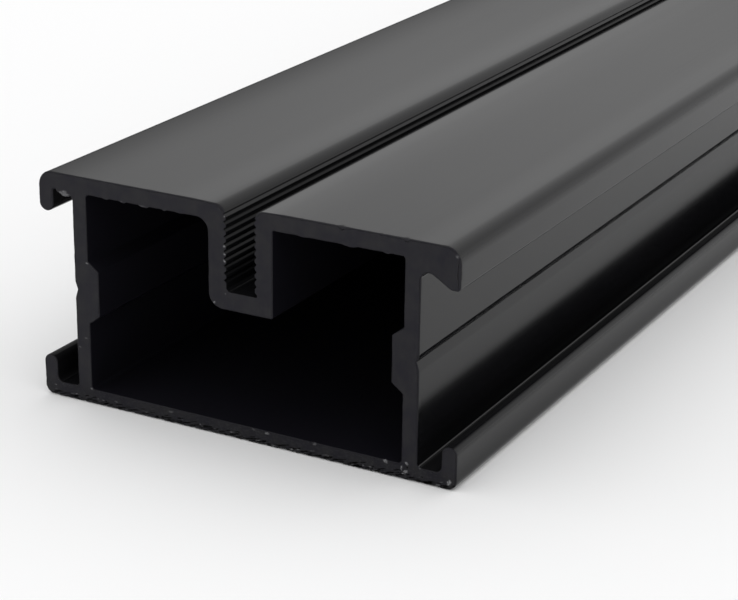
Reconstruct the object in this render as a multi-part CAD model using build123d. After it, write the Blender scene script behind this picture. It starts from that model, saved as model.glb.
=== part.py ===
from build123d import *
import math
import os

# Extruded aluminium joist profile: one closed box section with overhanging
# top flanges, a serrated screw channel down the middle of the top, and a base
# plate with upturned lips.  One piece of stock, cut square at both ends.
#
# Frame: millimetres, +Z up, the length runs along Y, the width along X.
# Origin: middle of the length and width, on the underside.

# ---- driving dimensions ----------------------------------------------------
LENGTH = 2000.0          # cut length of the bar

HEIGHT = 30.8            # underside to top face
TOP_HALF = 30.0          # half width over the top flanges
BASE_HALF = 30.2         # half width over the base lips

TOP_THICK = 2.28         # top flange wall
BASE_THICK = 1.98        # base plate wall
WEB_OUT = 24.87          # half width over the webs
WEB_THICK = 2.13         # web wall

TOP_CORNER_R = 2.0       # outer corner of both top flanges

# left flange lip: turned straight down, parallel sides, round tip
LIP_L_IN = 27.83         # inner face of the left lip
LIP_L_END = 25.42        # lowest point of the left lip
LIP_L_WEB_R = 1.35       # fillet between the overhang and the left web

# right flange lip: its inner face slopes up to a thicker overhang
LIP_R_END = 25.42        # lowest point of the right lip
LIP_R_FLAT = 28.80       # inner end of the small flat under the right lip
LIP_R_CEIL = 26.97       # underside of the right overhang
LIP_R_KNEE = 26.22       # where the slope meets that underside
LIP_R_WEB_R = 0.90       # fillet between the overhang and the right web
LIP_R_OUT_R = 0.45       # outer bottom edge of the right lip

# base lips
BASE_LIP_TOP = 5.55      # top of the upturned lips
BASE_LIP_IN = 28.15      # inner face of the lips
BASE_LIP_R = 1.0         # both top edges of the lips, so the top is round
BASE_CORNER_R = 1.2      # outer bottom corners
BASE_LIP_ROOT_R = 0.85   # inside the corner of lip and base plate
BASE_WEB_R = 0.50        # inside the corner of web and base plate

# marking groove on the outside of both webs
GROOVE_LOW = 14.35       # lower edge, where the shallow flank starts
GROOVE_DEEP = 15.52      # deepest line
GROOVE_HIGH = 16.55      # upper edge of the steep flank
GROOVE_DEPTH = 0.36

# rib inside both webs, opposite the groove
BOSS_FACE = 21.17        # half width between the rib faces
BOSS_MID = 15.34         # height of the middle of the rib
BOSS_FLAT = 6.10         # height of the flat face
BOSS_SLOPE = 1.20        # height of each sloping shoulder
BOSS_R = 0.30            # its edges

# screw channel
SLOT_L = 1.92            # left wall, at the crests of the serrations
SLOT_R = 2.16            # right wall, at the crests of the serrations
SLOT_FLOOR = 19.48       # top of the channel floor
SLOT_OUT_L = 4.53        # outside of the left channel wall
SLOT_OUT_R = 4.70        # outside of the right channel wall
SLOT_UNDER = 17.05       # underside of the channel floor
SLOT_MOUTH_L_R = 1.55    # rounded left edge of the mouth
SLOT_MOUTH_R_R = 1.20    # rounded right edge of the mouth
SLOT_CEIL_L_R = 1.70     # fillet between the chamber's ceiling and the left wall
SLOT_UNDER_L_R = 2.00    # outer bottom corner on the left
SLOT_UNDER_R_R = 0.30    # outer bottom corner on the right

# serrations on both channel walls: V grooves along the whole bar
RIB_PITCH = 0.95
RIB_HALF = 0.32          # half the height of one groove
RIB_DEPTH_L = 0.34
RIB_DEPTH_R = 0.26
RIB_COUNT = 10
RIB_LOWEST = 20.90       # height of the lowest groove's root

CHAMBER_R = 0.45         # the chamber's own inside corners


def outline(points):
    """A closed face from corners (x, z, radius), each rounded by its radius.

    A corner with a fourth item, (x, z), is reached by an arc through that point.
    """
    n = len(points)
    cuts = []
    for i in range(n):
        x, z, r = points[i][:3]
        px, pz = points[i - 1][:2]
        nx, nz = points[(i + 1) % n][:2]
        if r <= 0:
            cuts.append(((x, z), None, (x, z)))
            continue
        ax, az = px - x, pz - z
        bx, bz = nx - x, nz - z
        la, lb = math.hypot(ax, az), math.hypot(bx, bz)
        ax, az, bx, bz = ax / la, az / la, bx / lb, bz / lb
        half = math.acos(max(-1.0, min(1.0, ax * bx + az * bz))) / 2
        t = r / math.tan(half)
        mx, mz = ax + bx, az + bz
        lm = math.hypot(mx, mz)
        d = r / math.sin(half) - r
        cuts.append((
            (x + ax * t, z + az * t),
            (x + mx / lm * d, z + mz / lm * d),
            (x + bx * t, z + bz * t),
        ))
    edges = []
    for i in range(n):
        start, mid, end = cuts[i]
        if mid is not None:
            edges.append(ThreePointArc(
                (start[0], 0, start[1]), (mid[0], 0, mid[1]), (end[0], 0, end[1])))
        nxt = cuts[(i + 1) % n][0]
        via = points[(i + 1) % n][3:]
        if via:
            edges.append(ThreePointArc(
                (end[0], 0, end[1]), (via[0][0], 0, via[0][1]), (nxt[0], 0, nxt[1])))
        elif math.hypot(nxt[0] - end[0], nxt[1] - end[1]) > 1e-6:
            edges.append(Line((end[0], 0, end[1]), (nxt[0], 0, nxt[1])))
    return Face(Wire(edges))


def channel_wall(side):
    """One channel wall's corners: upwards on the left, downwards on the right."""
    wall, depth = (SLOT_R, RIB_DEPTH_R) if side > 0 else (SLOT_L, RIB_DEPTH_L)
    pts = []
    for k in range(RIB_COUNT):
        z = RIB_LOWEST + RIB_PITCH * k
        pts.append((side * wall, z - RIB_HALF, 0))
        pts.append((side * (wall + depth), z, 0))
        if k < RIB_COUNT - 1:
            pts.append((side * wall, z + RIB_HALF, 0))
    # the highest groove runs out in the rounded edge of the mouth
    r = SLOT_MOUTH_R_R if side > 0 else SLOT_MOUTH_L_R
    z_end = RIB_LOWEST + RIB_PITCH * (RIB_COUNT - 1) + RIB_HALF
    turn = math.acos(1 - (HEIGHT - z_end) / r)

    def on_round(a):
        return side * (wall + r - r * math.sin(a)), HEIGHT - r + r * math.cos(a)

    low, mid, top = on_round(turn), on_round(turn / 2), on_round(0)
    if side < 0:
        return pts + [(*low, 0), (*top, 0, mid)]
    return [(*top, 0), (*low, 0, mid)] + pts[::-1]


def web_outside(side, upward):
    """Corners of the marking groove on one web's outer face."""
    pts = [
        (side * WEB_OUT, GROOVE_LOW, 0),
        (side * (WEB_OUT - GROOVE_DEPTH), GROOVE_DEEP, 0),
        (side * WEB_OUT, GROOVE_HIGH, 0),
    ]
    return pts if upward else pts[::-1]


def web_inside(side, upward):
    """Corners of the rib on one web's inner face."""
    lo = BOSS_MID - BOSS_FLAT / 2
    hi = BOSS_MID + BOSS_FLAT / 2
    pts = [
        (side * web_in, lo - BOSS_SLOPE, BOSS_R),
        (side * BOSS_FACE, lo, BOSS_R),
        (side * BOSS_FACE, hi, BOSS_R),
        (side * web_in, hi + BOSS_SLOPE, BOSS_R),
    ]
    return pts if upward else pts[::-1]


web_in = WEB_OUT - WEB_THICK
ceiling = HEIGHT - TOP_THICK
lip_tip_r = (TOP_HALF - LIP_L_IN) / 2 - 0.01

# ---- outer boundary, anticlockwise seen from the near end -------------------
outer = [
    (-BASE_HALF, 0, BASE_CORNER_R),
    (BASE_HALF, 0, BASE_CORNER_R),
    (BASE_HALF, BASE_LIP_TOP, BASE_LIP_R),
    (BASE_LIP_IN, BASE_LIP_TOP, BASE_LIP_R),
    (BASE_LIP_IN, BASE_THICK, BASE_LIP_ROOT_R),
    (WEB_OUT, BASE_THICK, BASE_WEB_R),
]
outer += web_outside(+1, True)
outer += [
    (WEB_OUT, LIP_R_CEIL, LIP_R_WEB_R),
    (LIP_R_KNEE, LIP_R_CEIL, 0.50),
    (LIP_R_FLAT, LIP_R_END, 0.40),
    (TOP_HALF, LIP_R_END, LIP_R_OUT_R),
    (TOP_HALF, HEIGHT, TOP_CORNER_R),
]
outer += channel_wall(+1)
outer += [
    (SLOT_R, SLOT_FLOOR + 0.60, 0),
    (SLOT_R + 0.30, SLOT_FLOOR + 0.34, 0),
    (SLOT_R + 0.30, SLOT_FLOOR, 0),
    (-SLOT_L + 0.35, SLOT_FLOOR, 0),
    (-SLOT_L, SLOT_FLOOR + 0.35, 0),
]
outer += channel_wall(-1)
outer += [
    (-TOP_HALF, HEIGHT, TOP_CORNER_R),
    (-TOP_HALF, LIP_L_END, lip_tip_r),
    (-LIP_L_IN, LIP_L_END, lip_tip_r),
    (-LIP_L_IN, ceiling, 0.25),
    (-WEB_OUT, ceiling, LIP_L_WEB_R),
]
outer += web_outside(-1, False)
outer += [
    (-WEB_OUT, BASE_THICK, BASE_WEB_R),
    (-BASE_LIP_IN, BASE_THICK, BASE_LIP_ROOT_R),
    (-BASE_LIP_IN, BASE_LIP_TOP, BASE_LIP_R),
    (-BASE_HALF, BASE_LIP_TOP, BASE_LIP_R),
]

# ---- chamber boundary -------------------------------------------------------
chamber = [
    (-web_in, BASE_THICK, CHAMBER_R),
    (web_in, BASE_THICK, CHAMBER_R),
]
chamber += web_inside(+1, True)
chamber += [
    (web_in, ceiling, CHAMBER_R),
    (SLOT_OUT_R, ceiling, 0.20),
    (SLOT_OUT_R, SLOT_UNDER, SLOT_UNDER_R_R),
    (-SLOT_OUT_L, SLOT_UNDER, SLOT_UNDER_L_R),
    (-SLOT_OUT_L, ceiling, SLOT_CEIL_L_R),
    (-web_in, ceiling, CHAMBER_R),
]
chamber += web_inside(-1, False)

start = Pos(0, -LENGTH / 2, 0)


def run(face):
    """The bar that a section face sweeps along the length."""
    return Solid.extrude(start * face, Vector(0, LENGTH, 0))


bar = run(outline(outer)) - run(outline(chamber))
solids = bar.solids()
bar = solids[0]

area = bar.volume / LENGTH
print("solids", len(solids))
print("section area mm2", round(area, 1), " mass kg/m", round(area * 2.70e-3, 3))
print("box", bar.bounding_box())

os.makedirs("parts", exist_ok=True)
export_step(bar, "parts/joist_profile.step")
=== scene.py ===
import math

import bpy
import numpy as np
from mathutils import Matrix, Vector, geometry, noise


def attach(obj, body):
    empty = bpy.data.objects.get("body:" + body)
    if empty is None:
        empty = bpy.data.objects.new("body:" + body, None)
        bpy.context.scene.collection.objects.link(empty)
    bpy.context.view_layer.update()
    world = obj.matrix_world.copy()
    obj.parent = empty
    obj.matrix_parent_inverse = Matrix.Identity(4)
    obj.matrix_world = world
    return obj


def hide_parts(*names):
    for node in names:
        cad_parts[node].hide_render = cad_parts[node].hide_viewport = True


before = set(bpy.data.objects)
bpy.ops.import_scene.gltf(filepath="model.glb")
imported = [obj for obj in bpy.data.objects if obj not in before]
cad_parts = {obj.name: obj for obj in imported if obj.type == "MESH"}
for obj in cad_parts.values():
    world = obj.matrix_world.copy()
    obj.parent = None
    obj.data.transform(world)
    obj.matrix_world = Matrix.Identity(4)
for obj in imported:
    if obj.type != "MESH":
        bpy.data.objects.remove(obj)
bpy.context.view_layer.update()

# The bar's surface is built from its section: a fine outline in millimetres,
# (x, z), repeated along y, with the sawn ends closed by a fine mesh of their own.

# ---- the section, in millimetres -------------------------------------------
LENGTH = 2000.0
HEIGHT = 30.8
TOP_HALF, BASE_HALF = 30.0, 30.2
TOP_THICK, BASE_THICK = 2.28, 1.98
WEB_OUT, WEB_THICK = 24.87, 2.13
TOP_CORNER_R = 2.0
LIP_L_IN, LIP_L_END, LIP_L_WEB_R = 27.83, 25.42, 1.35
LIP_R_END, LIP_R_FLAT, LIP_R_CEIL, LIP_R_KNEE = 25.42, 28.80, 26.97, 26.22
LIP_R_WEB_R, LIP_R_OUT_R = 0.90, 0.45
BASE_LIP_TOP, BASE_LIP_IN, BASE_LIP_R = 5.55, 28.15, 1.0
BASE_CORNER_R, BASE_LIP_ROOT_R, BASE_WEB_R = 1.2, 0.85, 0.50
GROOVE_LOW, GROOVE_DEEP, GROOVE_HIGH, GROOVE_DEPTH = 14.35, 15.52, 16.55, 0.36
BOSS_FACE, BOSS_MID, BOSS_FLAT, BOSS_SLOPE, BOSS_R = 21.17, 15.34, 6.10, 1.20, 0.30
SLOT_L, SLOT_R, SLOT_FLOOR = 1.92, 2.16, 19.48
SLOT_OUT_L, SLOT_OUT_R, SLOT_UNDER = 4.53, 4.70, 17.05
SLOT_MOUTH_L_R, SLOT_MOUTH_R_R, SLOT_CEIL_L_R = 1.55, 1.20, 1.70
SLOT_UNDER_L_R, SLOT_UNDER_R_R = 2.00, 0.30
RIB_PITCH, RIB_HALF, RIB_DEPTH_L, RIB_DEPTH_R = 0.95, 0.32, 0.34, 0.26
RIB_COUNT, RIB_LOWEST = 10, 20.90
CHAMBER_R = 0.45

WEB_IN = WEB_OUT - WEB_THICK
CEILING = HEIGHT - TOP_THICK
LIP_TIP_R = (TOP_HALF - LIP_L_IN) / 2 - 0.01
SOFT = 0.07              # what the die leaves of an edge drawn sharp
MOUTH_DIP = 0.10         # how far the flanges fall towards the channel
MOUTH_DIP_RUN = 4.6

# scraped bits of bare metal on the near end: x, z, half width, half height, proud, bare
FLECKS = [
    (29.25, 0.96, 0.36, 0.46, 0.05, 0.62),
    # the next is a lighter grey spot at the right lip's top corner, drawn as dull bare metal
    (29.52, 29.72, 0.26, 0.34, 0.02, 0.20),
    (23.50, 2.16, 0.30, 0.24, 0.05, 0.55),
    (22.80, 1.42, 0.17, 0.34, 0.04, 0.55),
    (23.36, 1.04, 0.34, 0.30, 0.05, 0.60),
    (23.05, 0.72, 0.28, 0.08, 0.04, 0.70),
    (20.58, 1.82, 0.46, 0.30, 0.04, 0.46),
    (10.70, 1.80, 0.36, 0.22, 0.04, 0.26),
    (3.82, 1.68, 0.34, 0.22, 0.06, 0.56),
    (1.90, 1.78, 0.30, 0.12, 0.03, 0.24),
    (25.28, 2.02, 0.22, 0.22, 0.05, 0.40),
    (27.70, 0.30, 0.42, 0.13, 0.04, 0.62),
    (18.50, 0.54, 0.22, 0.12, 0.04, 0.50),
    (17.52, 0.52, 0.20, 0.09, 0.03, 0.38),
    (12.60, 0.60, 0.13, 0.10, 0.03, 0.50),
    (7.28, 0.30, 0.34, 0.10, 0.04, 0.72),
    (4.78, 0.22, 0.32, 0.08, 0.03, 0.55),
    (-6.05, 0.70, 0.16, 0.09, 0.03, 0.42),
    (-1.40, 0.68, 0.22, 0.09, 0.03, 0.46),
    (-10.5, 1.46, 0.40, 0.22, 0.03, 0.18),
    (-28.6, 1.43, 0.20, 0.09, 0.03, 0.42),
    (-22.8, 2.02, 0.30, 0.16, 0.04, 0.36),
    (-25.3, 0.80, 0.26, 0.07, 0.03, 0.46),
    (-21.0, 0.78, 0.22, 0.07, 0.03, 0.34),
    (-19.0, 1.02, 0.34, 0.12, 0.03, 0.22),
    (-2.10, 29.26, 0.12, 0.18, 0.05, 0.60),
    (-2.12, 25.36, 0.24, 0.20, 0.05, 0.72),
    (-2.14, 24.32, 0.20, 0.18, 0.05, 0.55),
    (-2.14, 23.44, 0.22, 0.20, 0.05, 0.60),
    (-3.70, 17.76, 0.22, 0.16, 0.06, 0.66),
    (-2.06, 19.18, 0.11, 0.10, 0.03, 0.40),
    (-22.85, 19.36, 0.22, 0.15, 0.05, 0.50),
    (-26.0, 28.10, 1.10, 0.50, 0.02, 0.38),
    (-17.4, 28.56, 0.50, 0.12, 0.02, 0.12),
    (-14.2, 28.52, 0.60, 0.12, 0.02, 0.14),
    (-24.4, 7.6, 0.20, 0.12, 0.03, 0.26),
    (-23.4, 9.0, 0.40, 0.10, 0.02, 0.16),
]
# the far end has its own, plainer ones
FAR_FLECKS = [
    (-28.9, 0.9, 0.25, 0.22, 0.06, 0.8),
    (-12.4, 1.8, 0.22, 0.16, 0.05, 0.5),
    (6.2, 0.4, 0.26, 0.12, 0.05, 0.6),
    (22.9, 11.6, 0.15, 0.20, 0.04, 0.4),
    (2.35, 26.2, 0.13, 0.13, 0.04, 0.6),
]
# places where the edge of the near end is broken deeper: x, z, reach, extra
NICKS = [
    (14.24, 30.80, 0.55, 0.42),
    (22.90, 30.80, 0.50, 0.22),
    (-2.45, 30.30, 1.20, 0.14),
    (19.60, 30.80, 0.35, 0.12),
    (8.80, 30.80, 0.30, 0.07),
    (-13.0, 30.80, 0.80, 0.06),
    (30.00, 27.60, 2.30, 0.18),
]
# saw burr left standing out of an edge: x, z, reach, height
BURRS = [
    (-26.0, 28.52, 1.35, 0.62),
    (-19.6, 28.52, 0.60, 0.10),
    (-17.0, 28.52, 0.50, 0.12),
    (-13.9, 28.52, 0.90, 0.17),
    (-10.9, 28.52, 0.45, 0.11),
    (-8.6, 28.52, 0.70, 0.06),
    (9.0, 28.52, 0.80, 0.08),
    (15.4, 28.52, 1.10, 0.12),
    (20.4, 28.52, 0.60, 0.09),
    (10.7, 1.98, 0.7, 0.10),
    (20.6, 1.98, 0.5, 0.12),
]
END_INSET = 0.15         # the burrs, and not the sawn face, reach the full length


def smooth(a, b, x):
    t = min(1.0, max(0.0, (x - a) / (b - a)))
    return t * t * (3 - 2 * t)


def wavy(x, y, z, octaves=3):
    """Smooth noise from about -1 to 1 that is the same on every run."""
    return noise.fractal(Vector((x, y, z)), 0.6, 2.1, octaves)


def rounded(points):
    """[(x, z, convex radius or 0)] along a closed outline whose corners are rounded."""
    out = []
    n = len(points)
    for i in range(n):
        x, z, r = points[i]
        if r <= 0:
            out.append((x, z, 0.0))
            continue
        px, pz = points[i - 1][:2]
        nx, nz = points[(i + 1) % n][:2]
        a = np.array((px - x, pz - z)); b = np.array((nx - x, nz - z))
        a /= np.linalg.norm(a); b /= np.linalg.norm(b)
        inner = math.acos(max(-1.0, min(1.0, float(a @ b))))
        turn = math.pi - inner
        t = r * math.tan(turn / 2)
        start = np.array((x, z)) + a * t
        bis = (a + b) / np.linalg.norm(a + b)
        centre = np.array((x, z)) + bis * (r / math.sin(inner / 2))
        step = math.radians(6.0 if r > 0.9 else 9.0 if r > 0.4 else 11.25 if r > 0.15 else 24.0)
        count = max(2, math.ceil(turn / step))
        left = a[0] * b[1] - a[1] * b[0] < 0     # the outline turns left here
        v = start - centre
        for k in range(count + 1):
            ang = turn * k / count * (1 if left else -1)
            c, s = math.cos(ang), math.sin(ang)
            p = centre + np.array((c * v[0] - s * v[1], s * v[0] + c * v[1]))
            out.append((float(p[0]), float(p[1]), r if left else -r))
    return out


def mouth(side):
    """The rounded edge of the channel's mouth and the gentle fall before it, top to wall."""
    wall = SLOT_R if side > 0 else SLOT_L
    r = SLOT_MOUTH_R_R if side > 0 else SLOT_MOUTH_L_R
    z_end = RIB_LOWEST + RIB_PITCH * (RIB_COUNT - 1) + RIB_HALF
    turn = math.acos(1 - (HEIGHT - z_end) / r)
    pts = []
    for k in range(13):
        f = 1 - k / 12
        x = wall + r + MOUTH_DIP_RUN * f
        pts.append((side * x, HEIGHT - MOUTH_DIP * (1 - f) ** 2, 0))
    lead = math.atan(2 * MOUTH_DIP / MOUTH_DIP_RUN)
    count = 11
    for k in range(1, count + 1):
        a = lead + (turn - lead) * k / count
        x = wall + r - r * (math.sin(a) - math.sin(lead))
        z = HEIGHT - r + r * (math.cos(a) + 1 - math.cos(lead)) - MOUTH_DIP
        if k == count:
            pts.append((side * max(x, wall + 0.06), z, 0.05))
        else:
            pts.append((side * x, z, 0))
    return pts


def serrations(side):
    wall, depth = (SLOT_R, RIB_DEPTH_R) if side > 0 else (SLOT_L, RIB_DEPTH_L)
    pts = []
    for k in range(RIB_COUNT):
        z = RIB_LOWEST + RIB_PITCH * k
        pts.append((side * wall, z - RIB_HALF, 0.06))
        pts.append((side * (wall + depth), z, 0.05))
        if k < RIB_COUNT - 1:
            pts.append((side * wall, z + RIB_HALF, 0.06))
    return pts


def web_outside(side):
    return [
        (side * WEB_OUT, GROOVE_LOW, 1.50),
        (side * (WEB_OUT - GROOVE_DEPTH), GROOVE_DEEP, 0.12),
        (side * WEB_OUT, GROOVE_HIGH, 0.35),
    ]


def web_inside(side):
    lo, hi = BOSS_MID - BOSS_FLAT / 2, BOSS_MID + BOSS_FLAT / 2
    return [
        (side * WEB_IN, lo - BOSS_SLOPE, BOSS_R),
        (side * BOSS_FACE, lo, BOSS_R),
        (side * BOSS_FACE, hi, BOSS_R),
        (side * WEB_IN, hi + BOSS_SLOPE, BOSS_R),
    ]


def outer_outline():
    pts = [
        (-BASE_HALF, 0, BASE_CORNER_R),
        (BASE_HALF, 0, BASE_CORNER_R),
        (BASE_HALF, BASE_LIP_TOP, BASE_LIP_R),
        (BASE_LIP_IN, BASE_LIP_TOP, BASE_LIP_R),
        (BASE_LIP_IN, BASE_THICK, BASE_LIP_ROOT_R),
        (WEB_OUT, BASE_THICK, BASE_WEB_R),
    ]
    pts += web_outside(+1)
    pts += [
        (WEB_OUT, LIP_R_CEIL, LIP_R_WEB_R),
        (LIP_R_KNEE, LIP_R_CEIL, 0.50),
        (LIP_R_FLAT, LIP_R_END, 0.40),
        (TOP_HALF, LIP_R_END, LIP_R_OUT_R),
        (TOP_HALF, HEIGHT, TOP_CORNER_R),
    ]
    pts += mouth(+1)
    pts += serrations(+1)[::-1]
    pts += [
        (SLOT_R, SLOT_FLOOR + 0.60, SOFT),
        (SLOT_R + 0.30, SLOT_FLOOR + 0.34, SOFT),
        (SLOT_R + 0.30, SLOT_FLOOR, 0.12),
        (-SLOT_L + 0.35, SLOT_FLOOR, 0.12),
        (-SLOT_L, SLOT_FLOOR + 0.35, 0.12),
    ]
    pts += serrations(-1)
    pts += mouth(-1)[::-1]
    pts += [
        (-TOP_HALF, HEIGHT, TOP_CORNER_R),
        (-TOP_HALF, LIP_L_END, LIP_TIP_R),
        (-LIP_L_IN, LIP_L_END, LIP_TIP_R),
        (-LIP_L_IN, CEILING, 0.25),
        (-WEB_OUT, CEILING, LIP_L_WEB_R),
    ]
    pts += web_outside(-1)[::-1]
    pts += [
        (-WEB_OUT, BASE_THICK, BASE_WEB_R),
        (-BASE_LIP_IN, BASE_THICK, BASE_LIP_ROOT_R),
        (-BASE_LIP_IN, BASE_LIP_TOP, BASE_LIP_R),
        (-BASE_HALF, BASE_LIP_TOP, BASE_LIP_R),
    ]
    return rounded(pts)


def chamber_outline():
    """The chamber's boundary, run clockwise so that the metal is on its left too."""
    pts = [(-WEB_IN, BASE_THICK, CHAMBER_R), (WEB_IN, BASE_THICK, CHAMBER_R)]
    pts += web_inside(+1)
    pts += [
        (WEB_IN, CEILING, CHAMBER_R),
        (SLOT_OUT_R, CEILING, 0.20),
        (SLOT_OUT_R, SLOT_UNDER, SLOT_UNDER_R_R),
        (-SLOT_OUT_L, SLOT_UNDER, SLOT_UNDER_L_R),
        (-SLOT_OUT_L, CEILING, SLOT_CEIL_L_R),
        (-WEB_IN, CEILING, CHAMBER_R),
    ]
    pts += web_inside(-1)[::-1]
    return rounded(pts[::-1])


def spacing(x, z):
    """How far apart outline points may be here."""
    s = 0.62
    for fx, fz, fw, fh, _, _ in FLECKS:
        d = math.hypot(x - fx, z - fz) - max(fw, fh)
        if d < 0.2:
            s = min(s, 0.08)
        elif d < 0.7:
            s = min(s, 0.25)
    for fx, fz, fr, _ in NICKS + BURRS:
        if math.hypot(x - fx, z - fz) < fr + 0.3:
            s = min(s, 0.12)
    if z < 0.02 and abs(x) < 29.2:
        s = min(s, 0.11)
    if abs(z - CEILING) < 0.05 and -22.5 < x < 22.5:
        s = min(s, 0.25)
    if z > 30.6 and (20 < abs(x) < 29):
        s = min(s, 0.45)
    return s


def resampled(poly):
    """Straight runs cut into steps no longer than spacing() allows."""
    out = []

    def cut(a, b):
        mx, mz = (a[0] + b[0]) / 2, (a[1] + b[1]) / 2
        run = math.hypot(b[0] - a[0], b[1] - a[1])
        if run > min(spacing(mx, mz), spacing(a[0], a[1]), spacing(b[0], b[1])) * 1.3:
            m = (mx, mz, 0.0)
            cut(a, m)
            out.append(m)
            cut(m, b)
    n = len(poly)
    for i in range(n):
        a, b = poly[i], poly[(i + 1) % n]
        if math.hypot(b[0] - a[0], b[1] - a[1]) < 1e-6:
            continue
        out.append(a)
        if a[2] == 0 or b[2] == 0 or a[2] != b[2] or math.hypot(b[0] - a[0], b[1] - a[1]) > 0.7:
            cut(a, b)
    return out


class Loop:
    """One closed boundary: places, outward normals, distance along it, edge break."""

    def __init__(self, poly, first_s):
        pts = resampled(poly)
        self.p = np.array([(x, z) for x, z, _ in pts])
        self.r = np.array([r for _, _, r in pts])
        nxt, prv = np.roll(self.p, -1, 0), np.roll(self.p, 1, 0)
        e1, e0 = nxt - self.p, self.p - prv
        l1, l0 = np.linalg.norm(e1, axis=1), np.linalg.norm(e0, axis=1)
        n1 = np.stack((e1[:, 1], -e1[:, 0]), 1) / l1[:, None]
        n0 = np.stack((e0[:, 1], -e0[:, 0]), 1) / l0[:, None]
        mid = n1 + n0
        self.bis = mid / np.linalg.norm(mid, axis=1)[:, None]
        self.s = first_s + np.concatenate(([0.0], np.cumsum(l1[:-1])))
        self.total = float(l1.sum())
        self.first_s = first_s
        self.count = len(pts)
        self.seg = l1

    def breaks(self, base, seed, nicks):
        """How far the saw and file took the edge back at each point."""
        b = np.full(self.count, base)
        for i, (x, z) in enumerate(self.p):
            s = self.s[i]
            b[i] *= 1.0 + 0.45 * wavy(s * 0.55, seed, 0.3) + 0.25 * wavy(s * 2.1, seed, 7.7)
            if abs(x) < 2.8 and 19.0 < z < 29.9:
                b[i] = min(b[i], 0.055)
            if z < 0.02 and abs(x) < 29.2:       # torn where the saw came out
                tear = wavy(x * 0.75, seed, 4.2, 4)
                b[i] = 0.17 + 0.20 * smooth(-0.10, 0.45, tear) + 0.07 * wavy(x * 4.1, seed, 9.9)
            for nx, nz, reach, extra in nicks:
                d = math.hypot(x - nx, z - nz) / reach
                if d < 1:
                    b[i] += extra * (1 - d * d) ** 1.5
            if self.r[i] > 0:
                b[i] = min(b[i], 0.55 * self.r[i])
            b[i] = max(b[i], 0.03)
        # a tight corner holds its neighbours back too
        for _ in range(2):
            for i in range(self.count):
                b[i] = min(b[i], b[i - 1] + 0.6 * self.seg[i - 1])
            for i in range(self.count - 1, -1, -1):
                j = (i + 1) % self.count
                b[i] = min(b[i], b[j] + 0.6 * self.seg[i])
        return b

    def burr(self, burrs, seed):
        """How far the burr stands out of the edge at each point."""
        h = np.zeros(self.count)
        for i, (x, z) in enumerate(self.p):
            for k, (bx, bz, reach, high) in enumerate(burrs):
                d = math.hypot(x - bx, z - bz) / reach
                if d < 1 and (self.bis[i, 1] < -0.5) == (bz > 15) and abs(self.bis[i, 0]) < 0.75:
                    rag = 1 + 0.35 * wavy(x * 3.3, seed + k, 1.1) + 0.2 * wavy(x * 9.0, seed + k, 2.2)
                    h[i] = max(h[i], high * (1 - d * d) * max(0.2, rag))
        return h


outer = Loop(outer_outline(), 0.0)
inner = Loop(chamber_outline(), outer.total + 4.0)
loops = (outer, inner)
PERIMETER = outer.total + inner.total + 8.0

def painted_top_sheen_and_shade(x):
    """Painted sheen and painted shade: how bright the top looks at x, as a share of its plain middle."""
    if x < 0:
        t = 0.48 + 0.47 * smooth(-32.5, -19.0, x) + 0.05 * smooth(-20.0, -11.0, x)   # painted shade, darker towards the lip
        t += 0.125 * smooth(-11.0, -5.5, x)                                         # painted sheen beside the channel
        return t - 0.22 * smooth(-4.8, -3.0, x) + 0.10 * smooth(-3.0, -2.0, x)      # and painted shade on its rounded mouth
    # painted sheen beside the channel on the right
    t = 1.01 + 0.22 * smooth(6.6, 3.8, x) + 0.15 * smooth(13.0, 3.5, x)
    return t + 0.11 * smooth(22.5, 26.5, x) - 0.16 * smooth(26.8, 29.6, x)          # painted sheen, then painted shade, before the corner


def sheen(x, z, nx, nz):
    """Specular level at a point of the section, with painted sheen and painted shade laid on it."""
    level = 0.5
    if z > 28.5 and (nz > 0.25 or x < -28):
        level *= painted_top_sheen_and_shade(x) ** 2.7
    # painted shade: less reflection on the left lip's outer side
    if x < -28.0 and 25 < z < 30.8:
        level *= 0.45
    if x > 20 and z > 7:                       # painted shade: less reflection on the upright faces of the right side
        under = x > 28.5 and nz < 0            # and still less on the lip's lower edge
        level *= 1 - 0.19 * (1.0 if under else smooth(0.86, 0.99, nx))
        if under:
            level *= 1 - 0.40 * smooth(0.1, 0.5, -nz)
    if x > 30.0 and z < 5.3:                   # painted shade: less reflection towards the bottom, where the floor by the bar lies in shade
        level *= 0.42 + 0.53 * smooth(1.2, 5.6, z)
    if abs(x) < 2.7 and 19.0 < z < 30.0:       # painted shade on the serrated walls
        level *= 0.34 + 0.46 * smooth(28.8, 29.1, z)
    # between web and base lip light only comes by way of two reflections
    if z < 5.7 and z > 1.5 and 25.0 < abs(x) < 30.1:
        out = nx * (1 if x > 0 else -1)
        low = 0.12 + 0.14 * smooth(0.2, 0.6, -out) * smooth(4.9, 5.2, z)
        level *= 1 - (1 - low) * (1 - smooth(0.42, 0.74, out)) * smooth(25.2, 25.45, abs(x))
    return level


def inside_loop(pts, poly):
    """Which of pts lie inside the closed polygon."""
    x, z = pts[:, 0], pts[:, 1]
    hit = np.zeros(len(pts), bool)
    ax, az = poly[:, 0], poly[:, 1]
    bx, bz = np.roll(ax, -1), np.roll(az, -1)
    for i in range(len(poly)):
        c = (az[i] > z) != (bz[i] > z)
        if c.any():
            xi = ax[i] + (z[c] - az[i]) * (bx[i] - ax[i]) / (bz[i] - az[i])
            hit[c] ^= x[c] < xi
    return hit


def edge_distance(pts, rims):
    """Each point's distance to the nearest rim point."""
    rim = np.concatenate(rims)
    best = np.full(len(pts), 1e9)
    for k in range(0, len(pts), 400):
        d = pts[k:k + 400, None, :] - rim[None]
        best[k:k + 400] = np.sqrt((d * d).sum(2)).min(1)
    return best


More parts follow.
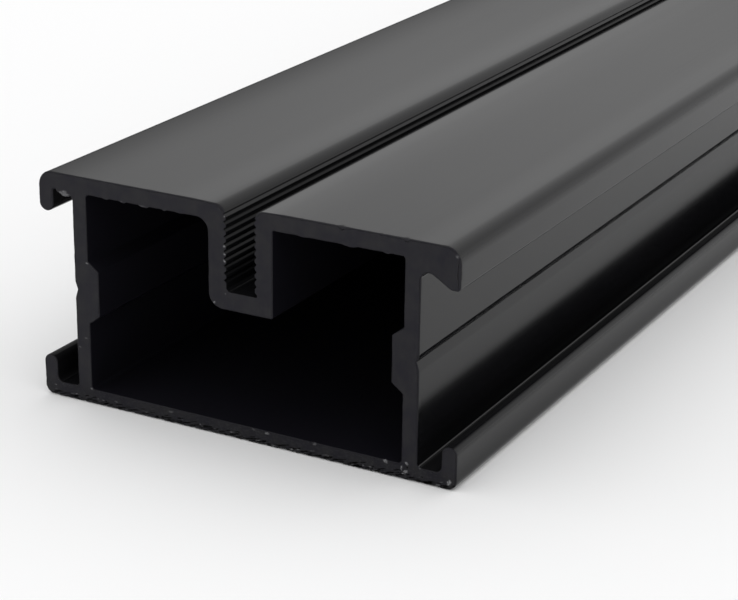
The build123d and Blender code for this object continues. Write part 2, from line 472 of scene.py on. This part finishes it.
def tears(seed):
    """Slanted tears and scraped lines above the bottom edge: x, z, length, half width, depth, bare."""
    rng = np.random.default_rng(seed)
    out = []
    x = -29.0
    while x < 28.6:
        out.append((x, rng.uniform(0.14, 0.34), rng.uniform(0.6, 1.9), rng.uniform(0.06, 0.11),
                    rng.uniform(0.10, 0.26), 0.0))
        x += rng.uniform(0.9, 2.2)
    x = -28.8
    while x < 28.0:
        out.append((x, rng.uniform(0.40, 0.85), rng.uniform(0.4, 1.3), rng.uniform(0.045, 0.08),
                    rng.uniform(0.06, 0.16), 0.0))
        x += rng.uniform(0.9, 2.6)
    x = -28.8
    while x < 28.4:
        out.append((x, rng.uniform(0.22, 0.80), rng.uniform(0.3, 0.9), rng.uniform(0.05, 0.08),
                    -rng.uniform(0.01, 0.03), rng.uniform(0.08, 0.30)))
        x += rng.uniform(1.4, 4.5)
    # the ones that stand out
    out += [(25.4, 0.12, 1.7, 0.12, 0.30, 0.0), (16.0, 0.10, 1.0, 0.11, 0.30, 0.0),
            (-26.3, 0.22, 1.5, 0.09, 0.25, 0.0), (8.2, 0.62, 0.5, 0.08, 0.25, 0.0),
            (23.3, 1.50, 0.42, 0.09, 0.22, 0.0), (22.72, 1.92, 0.20, 0.08, 0.22, 0.0),
            (21.9, 0.52, 1.4, 0.06, 0.2, 0.0), (-9.6, 0.74, 0.7, 0.07, 0.2, 0.0),
            (29.7, 0.55, 0.3, 0.10, 0.2, 0.0), (28.8, 0.30, 0.5, 0.08, 0.2, 0.0)]
    return out


def field(x, z, marks, flecks, seed, strip):
    """(depth behind the sawn plane, bare metal share, painted shade) at the points, arrays."""
    n = len(x)
    depth, bare, dark = np.zeros(n), np.zeros(n), np.zeros(n)
    slope = math.radians(13)
    c, s = math.cos(slope), math.sin(slope)
    for i in range(n):
        xi, zi = float(x[i]), float(z[i])
        track = 0.005 * wavy(xi * 0.35 + zi * 1.9, zi * 0.12, seed) + 0.004 * wavy(xi * 2.0, zi * 2.0, seed + 5)
        depth[i] = max(0.0, 0.012 + track)
        if zi < 2.2:       # the base plate tore more than it was cut
            f = 1 - smooth(1.6, 2.2, zi)
            t = wavy(xi * 1.3 + zi * 2.2, zi * 4.2, seed + 2.0, 4)
            depth[i] += f * 0.02 * smooth(0.1, 0.6, t)
            bare[i] = f * 0.03 * smooth(0.12, 0.55, wavy(xi * 2.9, zi * 5.0 - xi, seed + 3.0, 3))
        if strip and zi < 0.8 and abs(xi) < 29.6:       # slanted tears along the bottom edge, with painted shade in them and along the edge
            t = wavy((xi * c + zi * s) * 0.65, (zi * c - xi * s) * 4.6, seed + 8.0, 3)
            dark[i] = 0.75 * smooth(0.05, 0.38, t) * smooth(0.72, 0.30, zi)
            dark[i] = max(dark[i], 0.55 * smooth(0.18, 0.04, zi))
            depth[i] += 0.12 * dark[i] * smooth(0.0, 0.2, zi)
    if strip:
        for tx, tz, long, half, deep, shine in marks:
            dx, dz = x - tx, z - tz
            u = (dx * c + dz * s) / long
            v = (-dx * s + dz * c) / half
            ok = (u > 0) & (u < 1) & (np.abs(v) < 1)
            if ok.any():
                f = (1 - v[ok] ** 2) * np.minimum(1, 5 * np.minimum(u[ok], 1 - u[ok]))
                if deep > 0:
                    depth[ok] = np.maximum(depth[ok], deep * f)
                    bare[ok] *= 1 - f
                    # painted shade in the deep tears
                    dark[ok] = np.maximum(dark[ok], np.minimum(1, 1.5 * f))
                else:
                    depth[ok] = depth[ok] * (1 - f) + deep * f
                    bare[ok] = np.maximum(bare[ok], shine * f)
                    dark[ok] *= 1 - f
    for k, (fx, fz, fw, fh, proud, shine) in enumerate(flecks):
        dx, dz = (x - fx) / fw, (z - fz) / fh
        d = np.hypot(dx, dz)
        ok = d < 1.5
        if not ok.any():
            continue
        ang = np.arctan2(dz[ok], dx[ok])
        rim = 0.88 + 0.20 * np.sin(ang * 2 + k * 1.7) + 0.14 * np.sin(ang * 5 + k)
        f = np.clip(1 - d[ok] / rim, 0, 1)
        grit = np.array([wavy(a * 7, b * 7, seed + k) for a, b in zip(x[ok], z[ok])])
        soft = f * f * (3 - 2 * f)
        high = np.clip(proud * np.minimum(1, soft * 1.8) * (1 + 0.5 * grit), 0, 0.14)
        depth[ok] = np.where(f > 0.02, depth[ok] * (1 - np.minimum(1, 3 * soft)) - high, depth[ok])
        bare[ok] = np.maximum(bare[ok], shine * np.clip(np.minimum(1, f * 2.2) * (1 + 0.6 * grit), 0, 1))
        dark[ok] *= 1 - np.minimum(1, 3 * soft)
    return depth, np.clip(bare, 0, 1), dark


def end_sheen(z, dark):
    """Specular level on the sawn face, lowered as painted shade on the base plate, in the tears and along the
    bottom edge.
    """
    return (0.41 + 0.06 * smooth(1.7, 2.4, z)) * (1 - 0.93 * dark)


def end_points(rims, flecks, rng, strip):
    """Places inside the wall for the end face's mesh."""
    grids = []
    xs, zs = np.arange(-30.4, 30.4, 0.55), np.arange(0.1, 31.0, 0.55)
    g = np.stack(np.meshgrid(xs, zs), -1).reshape(-1, 2)
    g += rng.uniform(-0.14, 0.14, g.shape)
    grids.append((g, 0.24))
    low = 0.0
    if strip:
        xs, zs = np.arange(-29.8, 29.8, 0.085), np.arange(0.12, 1.0, 0.075)
        g2 = np.stack(np.meshgrid(xs, zs), -1).reshape(-1, 2)
        g2 += rng.uniform(-0.016, 0.016, g2.shape)
        xs, zs = np.arange(-29.8, 29.8, 0.17), np.arange(1.03, 1.9, 0.15)
        g3 = np.stack(np.meshgrid(xs, zs), -1).reshape(-1, 2)
        g3 += rng.uniform(-0.03, 0.03, g3.shape)
        grids += [(g2, 0.045), (g3, 0.07)]
        low = 1.9
    for fx, fz, fw, fh, _, _ in flecks:
        a, b = int((fw * 1.2 + 0.06) / 0.062), int((fh * 1.2 + 0.06) / 0.062)
        q = np.stack(np.meshgrid(np.arange(-a, a + 1), np.arange(-b, b + 1)), -1).reshape(-1, 2) * 0.062
        q = q + np.array((fx, fz))
        q += rng.uniform(-0.012, 0.012, q.shape)
        grids.append((q, 0.04))
    kept = []
    for k, (g, keep_off) in enumerate(grids):
        g = g[inside_loop(g, rims[0]) & ~inside_loop(g, rims[1])]
        g = g[edge_distance(g, rims) > keep_off]
        if k < (3 if strip else 1):
            for fx, fz, fw, fh, _, _ in flecks:
                g = g[(np.abs(g[:, 0] - fx) > fw * 1.2 + 0.10) | (np.abs(g[:, 1] - fz) > fh * 1.2 + 0.10)]
        if k == 0:
            g = g[g[:, 1] > low]
        kept.append(g)
    # no two closer than 0.035 mm
    pts, cells = [], {}
    for g in kept[::-1]:
        for x, z in g:
            key = (int(x / 0.035), int(z / 0.035))
            near = [cells.get((key[0] + i, key[1] + j)) for i in (-1, 0, 1) for j in (-1, 0, 1)]
            if all(q is None or math.hypot(q[0] - x, q[1] - z) > 0.035 for q in near):
                cells[key] = (x, z)
                pts.append((x, z))
    return np.array(pts)


# rings from an end inwards: share of the quarter turn of the edge break, then mm
TURNS = [1.0, 0.78, 0.52, 0.26, 0.0]
STAND = [1.0, 0.97, 0.80, 0.35, 0.0]
SHOWS = [1.0, 0.90, 0.60, 0.20, 0.0]
RUNS = [0.95, 3.0, 10.0, 40.0, 150.0, 480.0]
PLANE = LENGTH / 2 - END_INSET

verts, bare_v, sheen_v = [], [], []
ends = {}
for end, sign in (("near", -1), ("far", 1)):
    near_end = end == "near"
    seed = 1.0 if near_end else 21.0
    flecks = FLECKS if near_end else FAR_FLECKS
    marks = tears(5)
    info = {"rings": [], "rims": [], "sign": sign, "seed": seed, "flecks": flecks, "marks": marks}
    for loop in loops:
        b = loop.breaks(0.17 if loop is outer else 0.12, seed + (0 if loop is outer else 3),
                        NICKS if near_end else [])
        up = loop.burr(BURRS, seed) if near_end else np.zeros(loop.count)
        level = [sheen(*p, *q) if loop is outer else 0.5 for p, q in zip(loop.p, loop.bis)]
        rings = []
        for share, stand, shows in zip(TURNS, STAND, SHOWS):
            a = share * math.pi / 2
            inset = b * (1 - math.cos(a)) * np.clip(1 - up / 0.12, 0, 1)
            back = b * (1 - math.sin(a))
            p = loop.p + loop.bis * (up * stand - inset)[:, None]
            deep, shine, dark = field(p[:, 0], p[:, 1], marks, flecks, seed, near_end)
            ring = []
            for i in range(loop.count):
                d = back[i]
                if share > 0.9 or deep[i] > 0:
                    d += deep[i]
                else:
                    d += deep[i] * (0.7 if share > 0.6 else 0.25 if share > 0.4 else 0.0)
                ring.append(len(verts))
                verts.append((float(p[i, 0]), float(sign * (PLANE - d)), float(p[i, 1])))
                bare_v.append(float(shine[i]) * shows)
                # painted shade: the specular level falls where dark is set
                if share > 0.4:
                    sheen_v.append(end_sheen(float(p[i, 1]), float(dark[i])))
                else:
                    sheen_v.append(level[i] * (1 - 0.93 * float(dark[i])))
            rings.append(ring)
        info["rings"].append(rings)
        info["rims"].append(np.array([(verts[i][0], verts[i][2]) for i in rings[0]]))
    ends[end] = info

# rings between the ends
runs = []
for loop in loops:
    mid = []
    ys = [-PLANE + t for t in RUNS] + [0.0]
    ys += [-y for y in ys[-2::-1]]
    level = [sheen(*p, *q) if loop is outer else 0.5 for p, q in zip(loop.p, loop.bis)]
    for y in ys:
        ring = []
        for (x, z), lv in zip(loop.p, level):
            ring.append(len(verts))
            verts.append((float(x), y, float(z)))
            bare_v.append(0.0)
            sheen_v.append(lv)
        mid.append(ring)
    runs.append(mid)

faces, face_mat, face_uv, face_bake = [], [], [], []
BAKE_BODY = 0.70         # share of the bake map's height that the long faces take


def v_of(y):
    """Place along the bar on the bake map: the first 20 mm at each end get more of it."""
    t = y + LENGTH / 2
    if t < 20:
        f = 0.10 * t / 20
    elif t > LENGTH - 20:
        f = 1 - 0.10 * (LENGTH - t) / 20
    else:
        f = 0.10 + 0.80 * (t - 20) / (LENGTH - 40)
    return f * BAKE_BODY


def skin(loop, ring_a, ring_b, mat):
    """Quads between two rings; ring_a is nearer the near end."""
    n = loop.count
    for i in range(n):
        j = (i + 1) % n
        quad = (ring_a[i], ring_a[j], ring_b[j], ring_b[i])
        s0 = loop.s[i]
        s1 = loop.s[j] if j else loop.first_s + loop.total
        faces.append(quad)
        face_mat.append(mat)
        pairs = [(s, verts[k][1]) for s, k in zip((s0, s1, s1, s0), quad)]
        face_uv.append(pairs)
        face_bake.append([(0.004 + 0.992 * s / PERIMETER, 0.003 + v_of(y)) for s, y in pairs])


for li, loop in enumerate(loops):
    near = ends["near"]["rings"][li]
    far = ends["far"]["rings"][li]
    chain = near + runs[li] + far[::-1]
    for k in range(len(chain) - 1):
        rim = k < 3 or k >= len(chain) - 4
        skin(loop, chain[k], chain[k + 1], 1 if rim else (0 if loop is outer else 2))

for end in ("near", "far"):
    info = ends[end]
    sign, seed, flecks, marks = info["sign"], info["seed"], info["flecks"], info["marks"]
    rng = np.random.default_rng(7 if end == "near" else 8)
    rims = info["rims"]
    pts = end_points(rims, flecks, rng, end == "near")
    first = info["rings"][0][0]
    second = info["rings"][1][0]
    ids = list(first) + list(second)
    coords = [Vector(p) for p in rims[0]] + [Vector(p) for p in rims[1]]
    deep, shine, dark = field(pts[:, 0], pts[:, 1], marks, flecks, seed, end == "near")
    for (x, z), d, m, k in zip(pts, deep, shine, dark):
        ids.append(len(verts))
        verts.append((float(x), float(sign * (PLANE - d)), float(z)))
        bare_v.append(float(m))
        sheen_v.append(end_sheen(float(z), float(k)))
        coords.append(Vector((float(x), float(z))))
    n0, n1 = len(first), len(second)
    edges = [(i, (i + 1) % n0) for i in range(n0)] + [(n0 + i, n0 + (i + 1) % n1) for i in range(n1)]
    got, _, tris, orig, _, _ = geometry.delaunay_2d_cdt(coords, edges, [], 0, 1e-7, True)
    back = [o[0] if o else None for o in orig]
    xy = np.array([tuple(c) for c in got])
    mids = np.array([xy[list(t)].mean(0) for t in tris])
    ok = inside_loop(mids, rims[0]) & ~inside_loop(mids, rims[1])
    lost = 0
    for keep, t in zip(ok, tris):
        if not keep:
            continue
        if any(back[i] is None for i in t):
            lost += 1
            continue
        tri = [ids[back[i]] for i in t]
        p = [np.array(verts[i]) for i in tri]
        if np.cross(p[1] - p[0], p[2] - p[0])[1] * sign < 0:
            tri = tri[::-1]
        faces.append(tuple(tri))
        face_mat.append(1)
        face_uv.append([(verts[i][0], verts[i][2]) for i in tri])
        u0 = 0.005 if end == "near" else 0.505
        face_bake.append([
            (u0 + 0.49 * (verts[i][0] + 30.4) / 60.8, BAKE_BODY + 0.02 + 0.25 * verts[i][2] / 31.0)
            for i in tri
        ])
    print(end, "end: inner points", len(pts), "lost triangles", lost)

mesh = bpy.data.meshes.new("joist_bar")
mesh.from_pydata([(x / 1000, y / 1000, z / 1000) for x, y, z in verts], [], faces)
mesh.polygons.foreach_set("material_index", face_mat)
mesh.polygons.foreach_set("use_smooth", [True] * len(faces))
section_uv = mesh.uv_layers.new(name="Section")
bake_uv = mesh.uv_layers.new(name="OFBake")
section_uv.data.foreach_set("uv", [c for f in face_uv for p in f for c in p])
bake_uv.data.foreach_set("uv", [c for f in face_bake for p in f for c in p])
mesh.attributes.new("bare", "FLOAT", "POINT").data.foreach_set("value", bare_v)
mesh.attributes.new("sheen", "FLOAT", "POINT").data.foreach_set("value", sheen_v)
mesh.update()

# normals weighted by area, so that a flat stays flat right up to its rounded edge
co = np.array(verts)
acc = np.zeros_like(co)
quads = np.array([f for f in faces if len(f) == 4])
trias = np.array([f for f in faces if len(f) == 3])
nq = np.cross(co[quads[:, 2]] - co[quads[:, 0]], co[quads[:, 3]] - co[quads[:, 1]])
nt_ = np.cross(co[trias[:, 1]] - co[trias[:, 0]], co[trias[:, 2]] - co[trias[:, 0]])
for k in range(4):
    np.add.at(acc, quads[:, k], nq)
for k in range(3):
    np.add.at(acc, trias[:, k], nt_)
acc /= np.maximum(np.linalg.norm(acc, axis=1)[:, None], 1e-12)
mesh.normals_split_custom_set_from_vertices([tuple(a) for a in acc])

bar = bpy.data.objects.new("joist_bar", mesh)
bpy.context.scene.collection.objects.link(bar)
print("bar: outline points", outer.count, inner.count, "vertices", len(verts),
      "triangles", sum(len(f) - 2 for f in faces))


# ---- materials --------------------------------------------------------------
def new_material(name):
    m = bpy.data.materials.new(name)
    m.use_nodes = True
    nt = m.node_tree
    for n in list(nt.nodes):
        nt.nodes.remove(n)
    out = nt.nodes.new("ShaderNodeOutputMaterial")
    p = nt.nodes.new("ShaderNodeBsdfPrincipled")
    nt.links.new(p.outputs["BSDF"], out.inputs["Surface"])
    return m, nt, p


def maths(nt, op, a, b=None):
    n = nt.nodes.new("ShaderNodeMath")
    n.operation = op
    for i, v in enumerate((a, b)):
        if v is None:
            continue
        if isinstance(v, (int, float)):
            n.inputs[i].default_value = v
        else:
            nt.links.new(v, n.inputs[i])
    return n.outputs[0]


def remap(nt, value, lo, hi, to_lo, to_hi, kind="LINEAR"):
    n = nt.nodes.new("ShaderNodeMapRange")
    n.interpolation_type = kind
    n.inputs["From Min"].default_value = lo
    n.inputs["From Max"].default_value = hi
    n.inputs["To Min"].default_value = to_lo
    n.inputs["To Max"].default_value = to_hi
    nt.links.new(value, n.inputs["Value"])
    return n.outputs["Result"]


def mixed(nt, factor, a, b):
    n = nt.nodes.new("ShaderNodeMix")
    n.data_type = "RGBA"
    for key, v in (("Factor", factor), ("A", a), ("B", b)):
        sock = next(s for s in n.inputs if s.name == key and s.enabled)
        if isinstance(v, tuple):
            sock.default_value = v
        else:
            nt.links.new(v, sock)
    return next(s for s in n.outputs if s.enabled)


def uv_noise(nt, scale_u, scale_v, detail, rough, turn=0.0):
    """Noise over the section map, whose unit is 1 mm."""
    uv = nt.nodes.new("ShaderNodeUVMap")
    uv.uv_map = "Section"
    m = nt.nodes.new("ShaderNodeMapping")
    m.inputs["Rotation"].default_value = (0, 0, turn)
    m.inputs["Scale"].default_value = (scale_u, scale_v, 1.0)
    nt.links.new(uv.outputs["UV"], m.inputs["Vector"])
    n = nt.nodes.new("ShaderNodeTexNoise")
    n.noise_dimensions = "2D"
    n.inputs["Scale"].default_value = 1.0
    n.inputs["Detail"].default_value = detail
    n.inputs["Roughness"].default_value = rough
    nt.links.new(m.outputs["Vector"], n.inputs["Vector"])
    return n.outputs["Fac"]


def bump(nt, height, strength, distance_um, before=None):
    n = nt.nodes.new("ShaderNodeBump")
    n.inputs["Strength"].default_value = strength
    n.inputs["Distance"].default_value = distance_um * 1e-6
    nt.links.new(height, n.inputs["Height"])
    if before is not None:
        nt.links.new(before, n.inputs["Normal"])
    return n.outputs["Normal"]


def attribute(nt, name):
    n = nt.nodes.new("ShaderNodeAttribute")
    n.attribute_name = name
    return n.outputs["Fac"]


def long_face(name, dark, light, rough_lo, rough_hi, level_from_section):
    m, nt, p = new_material(name)
    lines = uv_noise(nt, 2.4, 0.0085, 5.0, 0.6)
    clouds = uv_noise(nt, 0.05, 0.012, 3.0, 0.5)
    grain = uv_noise(nt, 5.5, 4.5, 2.0, 0.5)
    tone = mixed(nt, remap(nt, clouds, 0.3, 0.7, 0.0, 1.0), dark, light)
    nt.links.new(tone, p.inputs["Base Color"])
    rough = maths(nt, "ADD", remap(nt, lines, 0.3, 0.7, -0.012, 0.012),
                  remap(nt, clouds, 0.3, 0.7, rough_lo, rough_hi))
    nt.links.new(rough, p.inputs["Roughness"])
    nrm = bump(nt, lines, 0.10, 4)
    nrm = bump(nt, grain, 0.15, 6, nrm)
    nt.links.new(nrm, p.inputs["Normal"])
    p.inputs["IOR"].default_value = 1.33
    if level_from_section:
        nt.links.new(attribute(nt, "sheen"), p.inputs["Specular IOR Level"])
    else:
        p.inputs["Specular IOR Level"].default_value = 0.09
    return m


def sawn_end():
    m, nt, p = new_material("sawn_end_black")
    tracks = uv_noise(nt, 3.2, 0.10, 6.0, 0.65, math.radians(64))
    spots = uv_noise(nt, 0.42, 0.42, 6.0, 0.66)
    specks = uv_noise(nt, 5.5, 5.5, 3.0, 0.55)
    bare = attribute(nt, "bare")
    level = attribute(nt, "sheen")
    tone = mixed(nt, remap(nt, spots, 0.33, 0.67, 0.0, 1.0),
                 (0.0020, 0.0015, 0.0060, 1), (0.0094, 0.0089, 0.0110, 1))
    # painted shade: the base colour darkens with the specular level, on the base plate, in the tears and along
    # the bottom edge
    tone = mixed(nt, remap(nt, level, 0.02, 0.47, 0.0, 1.0), (0.0012, 0.0012, 0.0006, 1), tone)
    metal = mixed(nt, remap(nt, specks, 0.35, 0.65, 0.0, 1.0),
                  (0.15, 0.15, 0.155, 1), (0.42, 0.42, 0.43, 1))
    nt.links.new(mixed(nt, bare, tone, metal), p.inputs["Base Color"])
    rough = maths(nt, "ADD", remap(nt, tracks, 0.3, 0.7, -0.05, 0.05),
                  remap(nt, spots, 0.3, 0.7, 0.44, 0.54))
    nt.links.new(rough, p.inputs["Roughness"])
    nt.links.new(bare, p.inputs["Metallic"])
    nt.links.new(level, p.inputs["Specular IOR Level"])
    nrm = bump(nt, tracks, 0.35, 20)
    nrm = bump(nt, specks, 0.20, 12, nrm)
    nt.links.new(nrm, p.inputs["Normal"])
    p.inputs["IOR"].default_value = 1.33
    return m


mesh.materials.append(long_face("black_anodised", (0.0046, 0.0046, 0.0052, 1),
                                (0.0062, 0.0062, 0.0070, 1), 0.148, 0.175, True))
mesh.materials.append(sawn_end())
# the chamber's copy of the black finish: painted shade, its reflection cut to 0.09, and painted light, a base a
# little lighter and bluer than outside
mesh.materials.append(long_face("black_anodised_chamber_painted_light_and_shade", (0.0066, 0.0063, 0.0088, 1),
                                (0.0080, 0.0076, 0.0104, 1), 0.36, 0.42, False))

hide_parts("joist_profile")
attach(bar, "root")


# ---- floor, light and camera ---------------------------------------------------
m, nt, p = new_material("pale_floor")
coord = nt.nodes.new("ShaderNodeTexCoord")
mottle = nt.nodes.new("ShaderNodeTexNoise")
mottle.inputs["Scale"].default_value = 3.0
mottle.inputs["Detail"].default_value = 4.0
nt.links.new(coord.outputs["Object"], mottle.inputs["Vector"])
nt.links.new(mixed(nt, mottle.outputs["Fac"], (0.930, 0.930, 0.932, 1), (0.942, 0.942, 0.944, 1)),
             p.inputs["Base Color"])
p.inputs["Roughness"].default_value = 0.9
p.inputs["Specular IOR Level"].default_value = 0.0
fm = bpy.data.meshes.new("studio_floor")
fm.from_pydata([(-40, -40, 0), (40, -40, 0), (40, 40, 0), (-40, 40, 0)], [], [(0, 1, 2, 3)])
floor = bpy.data.objects.new("studio_floor", fm)
floor.location.z = -0.0001
bpy.context.scene.collection.objects.link(floor)
fm.materials.append(m)

# A white room: pale at the horizon, a little darker above it, brightest overhead,
# and dim low down behind the bar on its left.
world = bpy.data.worlds.new("studio")
bpy.context.scene.world = world
world.use_nodes = True
wt = world.node_tree
bg = wt.nodes["Background"]
tc = wt.nodes.new("ShaderNodeTexCoord")
sep = wt.nodes.new("ShaderNodeSeparateXYZ")
wt.links.new(tc.outputs["Generated"], sep.inputs["Vector"])
ramp = wt.nodes.new("ShaderNodeValToRGB")
wt.links.new(sep.outputs["Z"], ramp.inputs["Fac"])
ramp.color_ramp.interpolation = "EASE"
stops = [(0.0, 0.97), (0.17, 0.88), (0.30, 0.80), (0.42, 0.835), (0.55, 0.96), (0.75, 1.15), (1.0, 1.30)]
while len(ramp.color_ramp.elements) < len(stops):
    ramp.color_ramp.elements.new(0.5)
for e, (at, v) in zip(ramp.color_ramp.elements, stops):
    e.position = at
    e.color = (v, v, v, 1)
azimuth = maths(wt, "ARCTAN2", sep.outputs["X"], sep.outputs["Y"])
beside = maths(wt, "MULTIPLY",
               remap(wt, azimuth, math.radians(-12), math.radians(12), 1.0, 0.0, "SMOOTHSTEP"),
               remap(wt, azimuth, math.radians(-120), math.radians(-60), 0.0, 1.0, "SMOOTHSTEP"))
low = remap(wt, sep.outputs["Z"], 0.06, 0.33, 0.85, 0.0, "SMOOTHSTEP")
wt.links.new(maths(wt, "SUBTRACT", 1.0, maths(wt, "MULTIPLY", beside, low)), bg.inputs["Strength"])
wt.links.new(ramp.outputs["Color"], bg.inputs["Color"])

cam_data = bpy.data.cameras.new("camera")
cam = bpy.data.objects.new("camera", cam_data)
bpy.context.scene.collection.objects.link(cam)
bpy.context.scene.camera = cam
cam_data.sensor_width = 36.0
cam_data.lens = 2154.0 / 738.0 * 36.0
cam_data.clip_start, cam_data.clip_end = 0.01, 200.0
yaw, pitch, roll = (math.radians(a) for a in (28.30, 20.70, 0.78))
fwd = Vector((-math.sin(yaw) * math.cos(pitch), math.cos(yaw) * math.cos(pitch), -math.sin(pitch)))
right = Vector((math.cos(yaw), math.sin(yaw), 0))
up = right.cross(fwd)
r2 = math.cos(roll) * right + math.sin(roll) * up
u2 = -math.sin(roll) * right + math.cos(roll) * up
cam.matrix_world = Matrix((
    (r2.x, u2.x, -fwd.x, 0.1313),
    (r2.y, u2.y, -fwd.y, -1.2102),
    (r2.z, u2.z, -fwd.z, 0.1125),
    (0, 0, 0, 1),
))

view = bpy.context.scene.view_settings
view.view_transform = "Standard"
view.look = "None"
view.exposure = 0.0
view.gamma = 1.0
